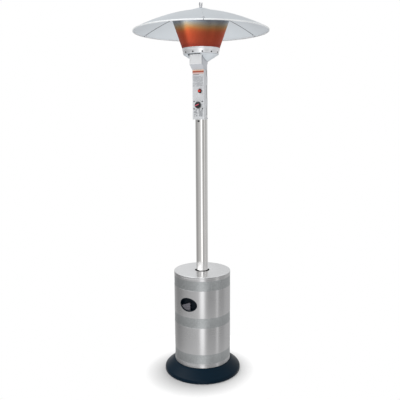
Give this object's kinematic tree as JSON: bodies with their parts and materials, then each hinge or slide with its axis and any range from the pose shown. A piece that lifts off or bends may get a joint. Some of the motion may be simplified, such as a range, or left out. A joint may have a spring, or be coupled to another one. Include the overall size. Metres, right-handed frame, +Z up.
{
  "type": "outdoor heater",
  "caption": "Free-standing gas patio heater: weighted base, sliding cylinder housing, post, control box, perforated emitter and round reflector.",
  "frame": {"origin": "centre of the base on the floor, under the post's axis", "axes": "+Z up along the post; -Y is the front, where the control knob and the igniter button face"},
  "size_m": [0.84, 0.84, 2.372],
  "materials": {
    "dark_paint": "dark blue-black enamel, satin",
    "brushed_steel": "brushed stainless steel with knurled bands",
    "polished_steel": "polished stainless tube",
    "pale_aluminium": "satin mill-finish sheet",
    "heat_steel": "perforated steel with heat colours",
    "grey_paint": "grey enamel",
    "cast_iron": "rough casting",
    "brass": "machined brass",
    "zinc_steel": "zinc plated",
    "black_plastic": "black moulding, fine texture",
    "red_plastic": "red moulding",
    "rubber": "black rubber"
  },
  "bodies": {
    "stand": {"base_cover": "dark_paint", "post_flange": "dark_paint", "leg_1": "dark_paint", "leg_2": "dark_paint", "leg_3": "dark_paint", "base_pan": "zinc_steel", "leg_bolt_1": "zinc_steel", "leg_bolt_2": "zinc_steel", "leg_bolt_3": "zinc_steel", "valve_bracket": "zinc_steel", "valve_screw_1": "zinc_steel", "valve_screw_2": "zinc_steel", "valve_screw_3": "zinc_steel", "valve_screw_4": "zinc_steel", "cover_side_screw": "zinc_steel", "burner": "zinc_steel", "pilot_burner": "zinc_steel", "emitter_top": "zinc_steel", "seam_bolt_1": "zinc_steel", "seam_bolt_2": "zinc_steel", "seam_bolt_3": "zinc_steel", "spacer_1": "zinc_steel", "spacer_2": "zinc_steel", "spacer_3": "zinc_steel", "wing_nut": "zinc_steel", "base_weight": "cast_iron", "foot_1": "rubber", "foot_2": "rubber", "foot_3": "rubber", "foot_4": "rubber", "gas_hose": "rubber", "post": "polished_steel", "gas_cylinder": "grey_paint", "regulator": "grey_paint", "cylinder_valve": "brass", "burner_pipe": "brass", "thermocouple": "brass", "igniter_body": "black_plastic", "tilt_switch": "black_plastic", "post_bolt": "black_plastic", "control_cover": "brushed_steel", "head_cover": "pale_aluminium", "gas_valve": "pale_aluminium", "burner_cup": "pale_aluminium", "funnel": "pale_aluminium", "reflector_cap": "pale_aluminium", "reflector_panel_1": "pale_aluminium", "reflector_panel_2": "pale_aluminium", "reflector_panel_3": "pale_aluminium", "emitter_screen": "heat_steel"},
    "housing": {"housing_shell": "brushed_steel", "housing_lid": "brushed_steel", "handle_front": "black_plastic", "handle_back": "black_plastic"},
    "handwheel": {"valve_handwheel": "black_plastic"},
    "spindle": {"valve_spindle": "brass"},
    "knob": {"control_knob": "black_plastic"},
    "igniter_button": {"igniter_button": "red_plastic"}
  },
  "joints": [
    {"name": "housing_lift", "type": "slide", "parent": "stand", "child": "housing", "axis": [0, 0, 1], "range_m": [0, 0.55]},
    {"name": "handwheel_turn", "type": "hinge", "parent": "stand", "child": "handwheel", "pos_m": [0, 0, 0.542], "axis": [0, 0, 1], "range_deg": [0, 540]},
    {"name": "knob_press", "type": "slide", "parent": "stand", "child": "spindle", "axis": [0, 1, 0], "range_m": [0, 0.004], "stiffness_N_per_m": 400},
    {"name": "knob_turn", "type": "hinge", "parent": "spindle", "child": "knob", "pos_m": [0, -0.06, 1.751], "axis": [0, -1, 0], "range_deg": [0, 200]},
    {"name": "igniter_press", "type": "slide", "parent": "stand", "child": "igniter_button", "axis": [0, 1, 0], "range_m": [0, 0.0045], "stiffness_N_per_m": 400}
  ]
}
